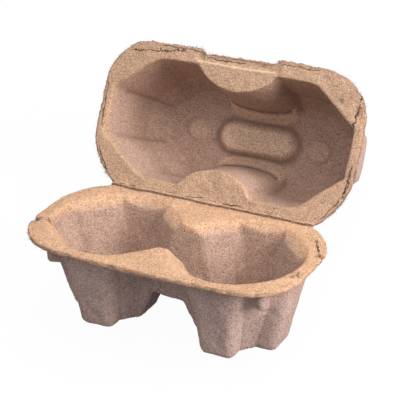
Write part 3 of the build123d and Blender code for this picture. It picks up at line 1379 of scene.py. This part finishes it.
@dataclass(frozen=True)
class Pattern:
    """A noise pattern: the size of its largest lumps and how much finer detail it has."""

    size_mm: float
    detail: float
    roughness: float
    distortion: float = 0.0

    def sockets(self) -> dict[str, float]:
        """Values for a noise texture's sockets, its scale being lumps in a metre."""
        return {
            "Scale": 1 / (self.size_mm * MM),
            "Detail": self.detail,
            "Roughness": self.roughness,
            "Distortion": self.distortion,
        }


@dataclass(frozen=True)
class MouldedPulp:
    """Recycled paper pulp, sucked wet onto a wire screen and dried: the tray's.

    The eye sees a matt mat of short fibres: warm tan on the rims, cooler and greyer on the side
    that lay on the screen, with fine pale fibres and dark specks of old ink. Dry fibres scatter
    nearly all light, so the roughness is near one and the specular level far below plastic's.
    """

    name: str = "recycled moulded paper pulp"
    # The flat rim's warm tan is partly the pulp's tone and partly painted light for the warm light on its
    # up-facing top.
    land_face: str = "#d6b193"
    inner_side: str = "#bba092"
    screen_side: str = "#cbb0a7"
    torn_side: str = "#cfab8f"
    # Colour of the painted highlight on the lid's raised oblong, pads and bay face.
    rubbed: str = "#e8cbb4"
    # Dark of cracks and scars, also used for the painted shade in the lid's creases.
    crack_and_painted_shade: str = "#4a3527"
    speck: str = "#4e3b30"
    fold_line: str = "#e6ccb0"
    roughness: float = 0.95
    specular: float = 0.15
    # A real fibre is about 0.03 mm thick and its clumps 0.2 mm wide. Both are too fine to show,
    # so the grain is drawn as coarse as it needs to be seen.
    grain: Pattern = Pattern(0.42, 3.0, 0.6)
    # Fibres flock together in spots of a few millimetres.
    mottle: Pattern = Pattern(2.2, 4.0, 0.6)
    # The wet mat settles unevenly over a finger's width.
    cloud: Pattern = Pattern(14.0, 3.0, 0.5)
    tone_weights: Triple = (0.76, 0.12, 0.12)
    tone_range: Pair = (0.36, 0.64)
    tone_shares: Pair = (0.46, 1.52)
    # The relief follows fibres 1 to 2 mm long, which the distortion curls.
    fibre: Pattern = Pattern(1.3, 4.0, 0.7, 1.6)
    bump_strength: float = 0.8
    bump_mm: float = 0.30
    grain_relief: float = 0.7
    # Specks of ink measure 0.1 to 0.3 mm, too fine to show. They are drawn some 0.5 mm wide, each
    # in a cell of this size.
    speck_mm: float = 1.25
    speck_radii: Pair = (0.12, 0.26)
    speck_chance: Pair = (0.72, 0.95)
    speck_share: float = 0.9
    # The torn rim is split along a line that wanders within 3 mm of its edge.
    rim_split: Pattern = Pattern(5.0, 3.0, 0.6)
    rim_split_mm: Pair = (3.4, -0.35)
    rim_split_half_mm: Pair = (0.08, 0.30)
    patches: Pattern = Pattern(11.0, 2.0, 0.5)
    patch_range: Pair = (0.47, 0.53)
    patch_share: float = 0.35
    scar_contrast: Pair = (7.0, -2.7)
    jag: Pattern = Pattern(1.8, 3.0, 0.7)
    line_half_mm: Pair = (0.14, 0.38)
    line_end_mm: float = 0.6
    line_land: Pair = (0.7, 0.95)
    split_wobble_mm: float = 4.0
    fold_wobble_mm: float = 0.7
    splits: tuple[Stretch, ...] = (
        (46.3, -9.3, 51.6, -20.3),
        (49.4, -33.6, 50.8, -37.5),
        (-52.2, -39.5, -50.2, -35.0),
    )
    folds: tuple[Stretch, ...] = ()

    def material(self) -> bpy.types.Material:
        """Build the node material on Object coordinates and the mesh's attributes.

        Returns:
            The material, in which each layer is mixed over the ones before it.
        """
        material = bpy.data.materials.new(self.name)
        material.use_nodes = True
        tree = material.node_tree
        tree.nodes.clear()
        add = partial(add_node, tree)
        place = add("ShaderNodeTexCoord").outputs["Object"]
        grain, mottle, cloud, fibre = (
            add("ShaderNodeTexNoise", Vector=place, **pattern.sockets()).outputs[0]
            for pattern in (self.grain, self.mottle, self.cloud, self.fibre)
        )
        mark = {
            name: add("ShaderNodeAttribute", {"attribute_name": name.value}).outputs["Fac"]
            for name in PaintMark
        }
        colour = linear(self.inner_side)
        for name, layer in (
            # The land's tone is partly painted light on the up-facing rim.
            (PaintMark.LAND, self.land_face),
            (PaintMark.SCREEN, self.screen_side),
            (PaintMark.TORN, self.torn_side),
            # The lid's painted highlight.
            (PaintMark.RUBBED, self.rubbed),
        ):
            mix = add("ShaderNodeMix", {"data_type": "RGBA"}, i0=mark[name], i6=colour, i7=linear(layer))
            colour = mix.outputs[2]
        tone = add("ShaderNodeMath", MULTIPLY, i0=grain, i1=self.tone_weights[0])
        for noise, weight in zip((mottle, cloud), self.tone_weights[1:]):
            tone = add("ShaderNodeMath", MULTIPLY_ADD, i0=noise, i1=weight, i2=tone.outputs[0])
        low, high = self.tone_range
        dark, pale = self.tone_shares
        shade = add("ShaderNodeMapRange", Value=tone.outputs[0], i1=low, i2=high, i3=dark, i4=pale)
        grained = add(
            "ShaderNodeVectorMath", {"operation": "SCALE"}, i0=colour, Scale=shade.outputs[0]
        )
        colour = grained.outputs[0]
        layers = [
            (self.specks(tree, place), self.speck),
            (self.rim_splits(tree, place, mark[PaintMark.EDGE]), self.crack_and_painted_shade),
            # Scars, and on the lid the painted crease shade, in the crack colour.
            (self.scars(tree, grain, mark[PaintMark.SCAR]), self.crack_and_painted_shade),
        ]
        for lines, wobble, paint in (
            (self.splits, self.split_wobble_mm, self.crack_and_painted_shade),
            (self.folds, self.fold_wobble_mm, self.fold_line),
        ):
            for ends in lines:
                share = self.line(tree, place, mark[PaintMark.LAND], ends, wobble)
                layers.append((share, paint))
        for share, layer in layers:
            mix = add("ShaderNodeMix", {"data_type": "RGBA"}, i0=share, i6=colour, i7=linear(layer))
            colour = mix.outputs[2]
        relief = add("ShaderNodeMath", MULTIPLY_ADD, i0=grain, i1=self.grain_relief, i2=fibre)
        bump = add(
            "ShaderNodeBump",
            Strength=self.bump_strength,
            Distance=self.bump_mm * MM,
            Height=relief.outputs[0],
        )
        shader = add(
            "ShaderNodeBsdfPrincipled",
            Base_Color=colour,
            Roughness=self.roughness,
            Specular_IOR_Level=self.specular,
            Normal=bump.outputs[0],
        )
        add("ShaderNodeOutputMaterial", Surface=shader.outputs[0])
        return material

    def specks(self, tree: bpy.types.NodeTree, place: Socket) -> Socket:
        """Share of ink specks: small rounds in a few cells of a random cell pattern.

        Args:
            tree: the material's node tree.
            place: the Object coordinates.

        Returns:
            The share, high in a speck.
        """
        add = partial(add_node, tree)
        cells = add("ShaderNodeTexVoronoi", Vector=place, Scale=1 / (self.speck_mm * MM), Randomness=1.0)
        near, far = self.speck_radii
        bit = add("ShaderNodeMapRange", Value=cells.outputs["Distance"], i1=near, i2=far, i3=1.0, i4=0.0)
        chance = add("ShaderNodeSeparateColor", Color=cells.outputs["Color"])
        low, high = self.speck_chance
        rare = add(
            "ShaderNodeMapRange", Value=chance.outputs[0], i1=low, i2=high, i3=0.0, i4=self.speck_share
        )
        return add("ShaderNodeMath", MULTIPLY, i0=bit.outputs[0], i1=rare.outputs[0]).outputs[0]

    def rim_splits(self, tree: bpy.types.NodeTree, place: Socket, edge: Socket) -> Socket:
        """Share of the thin splits that follow the rim, in patches.

        A split lies where the distance from the edge equals a wandering one.

        Args:
            tree: the material's node tree.
            place: the Object coordinates.
            edge: the distance from the rim's edge.

        Returns:
            The share, high in a split.
        """
        add = partial(add_node, tree)
        wander, patches = (
            add("ShaderNodeTexNoise", Vector=place, **pattern.sockets()).outputs[0]
            for pattern in (self.rim_split, self.patches)
        )
        swing, start = self.rim_split_mm
        line = add("ShaderNodeMath", MULTIPLY_ADD, i0=wander, i1=swing, i2=start)
        off = add("ShaderNodeMath", {"operation": "SUBTRACT"}, i0=edge, i1=line.outputs[0])
        off = add("ShaderNodeMath", ABSOLUTE, i0=off.outputs[0])
        near, far = self.rim_split_half_mm
        thin = add("ShaderNodeMapRange", Value=off.outputs[0], i1=near, i2=far, i3=1.0, i4=0.0)
        low, high = self.patch_range
        patch = add("ShaderNodeMapRange", Value=patches, i1=low, i2=high, i3=0.0, i4=self.patch_share)
        return add("ShaderNodeMath", MULTIPLY, i0=thin.outputs[0], i1=patch.outputs[0]).outputs[0]

    def scars(self, tree: bpy.types.NodeTree, grain: Socket, scar: Socket) -> Socket:
        """Share of the scars' dark, with the painted crease shade on the lid, broken up by a strong
        contrast of the grain.

        Args:
            tree: the material's node tree.
            grain: the grain's noise.
            scar: the scars' darkness, with the painted crease shade on the lid.

        Returns:
            The share, from 0 to 1.
        """
        add = partial(add_node, tree)
        gain, start = self.scar_contrast
        pocked = add("ShaderNodeMath", MULTIPLY_ADD, i0=grain, i1=gain, i2=start)
        pocked = add("ShaderNodeClamp", Value=pocked.outputs[0])
        depth = add("ShaderNodeMath", MULTIPLY, i0=scar, i1=pocked.outputs[0])
        return add("ShaderNodeClamp", Value=depth.outputs[0]).outputs[0]

    def line(
        self, tree: bpy.types.NodeTree, place: Socket, land: Socket, ends: Stretch, wobble: float
    ) -> Socket:
        """Share of one jagged line between two places of the half's own plan.

        The distance from the straight line between them is the dot product with its normal, and
        noise makes it wander. The distance along it fades the line out at its ends.

        Args:
            tree: the material's node tree.
            place: the Object coordinates.
            land: the share of the flat rim, outside which there is no line.
            ends: X and Y of one end and of the other.
            wobble: how far the line wanders, in millimetres.

        Returns:
            The share, high on the line.
        """
        add = partial(add_node, tree)
        x0, y0, x1, y1 = ends
        length = math.hypot(x1 - x0, y1 - y0)
        along = ((x1 - x0) / length, (y1 - y0) / length, 0.0)
        across = (-along[1], along[0], 0.0)
        middle = x0 * along[0] + y0 * along[1] + length / 2
        own = add("ShaderNodeAttribute", {"attribute_name": OWN_PLACE}).outputs["Vector"]
        wander = add("ShaderNodeTexNoise", Vector=place, **self.jag.sockets()).outputs[0]
        low, high = self.line_land
        share = add("ShaderNodeMapRange", Value=land, i1=low, i2=high, i3=0.0, i4=1.0).outputs[0]
        end_near, end_far = length / 2 - self.line_end_mm, length / 2 + self.line_end_mm
        for axis, zero, swing, near, far in (
            (across, x0 * across[0] + y0 * across[1], wobble, *self.line_half_mm),
            (along, middle, 0.0, end_near, end_far),
        ):
            dot = add("ShaderNodeVectorMath", {"operation": "DOT_PRODUCT"}, i0=own, i1=axis)
            off = add("ShaderNodeMath", MULTIPLY_ADD, i0=wander, i1=swing, i2=dot.outputs["Value"])
            off = add("ShaderNodeMath", {"operation": "SUBTRACT"}, i0=off.outputs[0], i1=zero + swing / 2)
            off = add("ShaderNodeMath", ABSOLUTE, i0=off.outputs[0])
            mask = add("ShaderNodeMapRange", Value=off.outputs[0], i1=near, i2=far, i3=1.0, i4=0.0)
            share = add("ShaderNodeMath", MULTIPLY, i0=share, i1=mask.outputs[0]).outputs[0]
        return share


@dataclass(frozen=True)
class LidPulp(MouldedPulp):
    """The lid's pulp: the same mat, its rim and torn edge darkened as painted shade, with more splits and
    a pale fold.
    """

    name: str = "recycled moulded paper pulp, lid"
    # Painted shade: the lid's rim faces away from the light, so its land and torn edge are painted darker
    # than the tray's.
    land_face: str = "#c6a78f"
    torn_side: str = "#b1937e"
    patch_share: float = 0.95
    splits: tuple[Stretch, ...] = (
        (48.4, -37.0, 49.6, -51.0),
        (-44.0, -51.5, -22.0, -54.6),
        (49.5, -12.0, 51.0, -24.0),
    )
    folds: tuple[Stretch, ...] = ((-16.5, -51.6, 3.0, -51.4), (3.0, -51.4, 15.0, -51.9))


@dataclass(frozen=True)
class PhotoCamera:
    """The camera that took the reference picture, placed in the tray's own frame."""

    azimuth: float = 27.1
    elevation: float = 26.1
    roll: float = -0.6
    distance: float = 576.3
    target: Triple = (-14.78, 0.0, -6.39)
    focal_pixels: float = 1540.0
    principal: Pair = (174.01, 212.67)
    image_pixels: float = 400.0
    sensor_mm: float = 36.0
    clip: Pair = (0.01, 10.0)

    def axes(self) -> tuple[Array, Array, Array]:
        """Work out the camera's axes from its azimuth, elevation and roll.

        Returns:
            Forward, right and up of the camera in the tray's frame.
        """
        azimuth, elevation = math.radians(self.azimuth), math.radians(self.elevation)
        roll = math.radians(self.roll)
        flat = math.cos(elevation)
        forward = np.array(
            [-math.sin(azimuth) * flat, math.cos(azimuth) * flat, -math.sin(elevation)]
        )
        right = np.array([math.cos(azimuth), math.sin(azimuth), 0.0])
        rolled = math.cos(roll) * right + math.sin(roll) * np.cross(right, forward)
        return forward, rolled, np.cross(rolled, forward)

    def build(self, tray: Placement) -> bpy.types.Object:
        """Make the camera, aimed so that the picture's middle is the photo's middle.

        Args:
            tray: the tray's placement, which carries the camera's place with it.

        Returns:
            The camera object.
        """
        forward, right, up = self.axes()
        half = self.image_pixels / 2
        aim = forward * self.focal_pixels
        aim = aim + right * (half - self.principal[0]) + up * (self.principal[1] - half)
        aim = tray.direction(unit(aim))
        side = unit(np.cross(aim, tray.direction(up)))
        data = bpy.data.cameras.new("photo_camera")
        data.sensor_width = self.sensor_mm
        data.lens = self.focal_pixels / self.image_pixels * self.sensor_mm
        data.clip_start, data.clip_end = self.clip
        camera = linked("photo_camera", data)
        place = tray.to_world(np.array(self.target) - self.distance * forward)
        camera.matrix_world = pose_matrix(side, np.cross(side, aim), -aim, place)
        bpy.context.scene.camera = camera
        return camera


def pose_matrix(right: Array, up: Array, back: Array, place: Array) -> Matrix:
    """The matrix of an object with given axes and a given place.

    Args:
        right: its X axis.
        up: its Y axis.
        back: its Z axis.
        place: where it stands, in metres.

    Returns:
        The matrix, with axes and place as its columns.
    """
    matrix = np.eye(4)
    matrix[:3] = np.stack([right, up, back, place], -1)
    return Matrix(matrix.tolist())


@dataclass(frozen=True)
class SoftLamp:
    """A square soft lamp aimed at the carton, with its place in the tray's frame."""

    name: str
    place: Triple
    size: float
    watts: float
    colour: str
    aim: ClassVar[Triple] = (0.0, -10.0, 0.0)
    upwards: ClassVar[Triple] = (0.0, 0.1, 1.0)

    def build(self, tray: Placement) -> bpy.types.Object:
        """Make the lamp.

        Args:
            tray: the tray's placement.

        Returns:
            The lamp object.
        """
        data = bpy.data.lights.new(self.name, "AREA")
        data.size = self.size * MM
        data.energy = self.watts
        data.color = linear(self.colour)[:3]
        lamp = linked(self.name, data)
        spot = tray.to_world(np.array(self.place))
        back = unit(spot - tray.to_world(np.array(self.aim)))
        side = unit(np.cross(self.upwards, back))
        lamp.matrix_world = pose_matrix(side, np.cross(back, side), back, spot)
        return lamp


@dataclass(frozen=True)
class Studio:
    """A pale floor, an even sky and soft lamps placed round the carton as in the photo."""

    floor_half: float = 3000.0
    floor_colour: str = "#949498"
    floor_glow: float = 1.12
    floor_glow_share: float = 0.86
    sky: str = "#e6e9f0"
    sky_strength: float = 0.27
    lamps: tuple[SoftLamp, ...] = (
        SoftLamp("window_right", (612.0, -108.0, 300.0), 380.0, 4.9, "#fff6ee"),
        SoftLamp("ceiling", (60.0, -140.0, 800.0), 520.0, 3.4, "#fff3e8"),
        SoftLamp("window_front", (-60.0, -640.0, 560.0), 520.0, 1.7, "#fff6f0"),
    )

    def floor(self) -> bpy.types.Object:
        """A matt floor, which the camera's own rays see as a white glow with a trace of shadow.

        Returns:
            The floor object.
        """
        half = self.floor_half * MM
        mesh = bpy.data.meshes.new("floor")
        corners = [(-half, -half, 0), (half, -half, 0), (half, half, 0), (-half, half, 0)]
        mesh.from_pydata(corners, [], [(0, 1, 2, 3)])
        floor = linked("floor", mesh)
        material = bpy.data.materials.new("matt white paper sweep")
        material.use_nodes = True
        tree = material.node_tree
        tree.nodes.clear()
        add = partial(add_node, tree)
        camera_ray = add("ShaderNodeLightPath").outputs["Is Camera Ray"]
        seen = add("ShaderNodeMath", MULTIPLY, i0=camera_ray, i1=self.floor_glow_share)
        matt = add("ShaderNodeBsdfDiffuse", Color=linear(self.floor_colour))
        glow = add("ShaderNodeEmission", Color=linear("#ffffff"), Strength=self.floor_glow)
        both = add("ShaderNodeMixShader", i0=seen.outputs[0], i1=matt.outputs[0], i2=glow.outputs[0])
        add("ShaderNodeOutputMaterial", Surface=both.outputs[0])
        mesh.materials.append(material)
        return floor

    def world(self) -> None:
        """An even pale sky for soft fill."""
        world = bpy.data.worlds.new("pale studio")
        world.use_nodes = True
        background = world.node_tree.nodes["Background"]
        background.inputs["Color"].default_value = linear(self.sky)
        background.inputs["Strength"].default_value = self.sky_strength
        bpy.context.scene.world = world

    def build(self, tray: Placement) -> None:
        """Set up floor, sky and lamps.

        Args:
            tray: the tray's placement, which carries the lamps with it.
        """
        self.floor()
        self.world()
        for lamp in self.lamps:
            lamp.build(tray)
        bpy.context.scene.view_settings.view_transform = "Standard"


def dress(
    obj: bpy.types.Object, material: bpy.types.Material, body: str, node: str
) -> None:
    """Give a moulding its finish, and let it stand for its solid on its body.

    Args:
        obj: the moulding.
        material: its finish.
        body: the body that it rides on.
        node: the CAD node that it replaces.
    """
    obj.data.materials.append(material)
    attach(obj, body)
    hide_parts(node)


def main() -> None:
    """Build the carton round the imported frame."""
    logging.basicConfig(level=logging.INFO, format="%(name)s: %(message)s")
    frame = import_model()
    pose = CartonPose.from_frame(frame)
    PhotoCamera().build(pose.tray)
    Studio().build(pose.tray)
    pulp, lid_pulp = MouldedPulp().material(), LidPulp().material()
    tray = Tray(pose.tray, PulpWall()).build()
    dress(tray, pulp, "tray", "tray")
    LOG.info("tray moulding: %d faces", len(tray.data.polygons))
    lid = Lid(pose.lid, PulpWall()).build()
    dress(lid, lid_pulp, "lid", "lid")
    LOG.info("lid moulding: %d faces", len(lid.data.polygons))
    strip = CreaseStrip(pose.tray, pose.lid).build()
    strip.data.materials.append(pulp)
    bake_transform(strip)
    LOG.info("crease strip: %d faces", len(strip.data.polygons))
    for body, placement, flange, low, seed in (
        ("tray", pose.tray, Tray.flange, -RIM_DEPTH, 4),
        ("lid", pose.lid, Lid.flange, RIM_DEPTH, 3),
    ):
        fibres = RimFibres().build(f"{body}_rim_fibres", placement, flange, low, seed)
        fibres.data.materials.append(pulp if body == "tray" else lid_pulp)
        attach(fibres, body)
        LOG.info("%s rim fibres: %d faces", body, len(fibres.data.polygons))


if __name__ == "__main__":
    main()
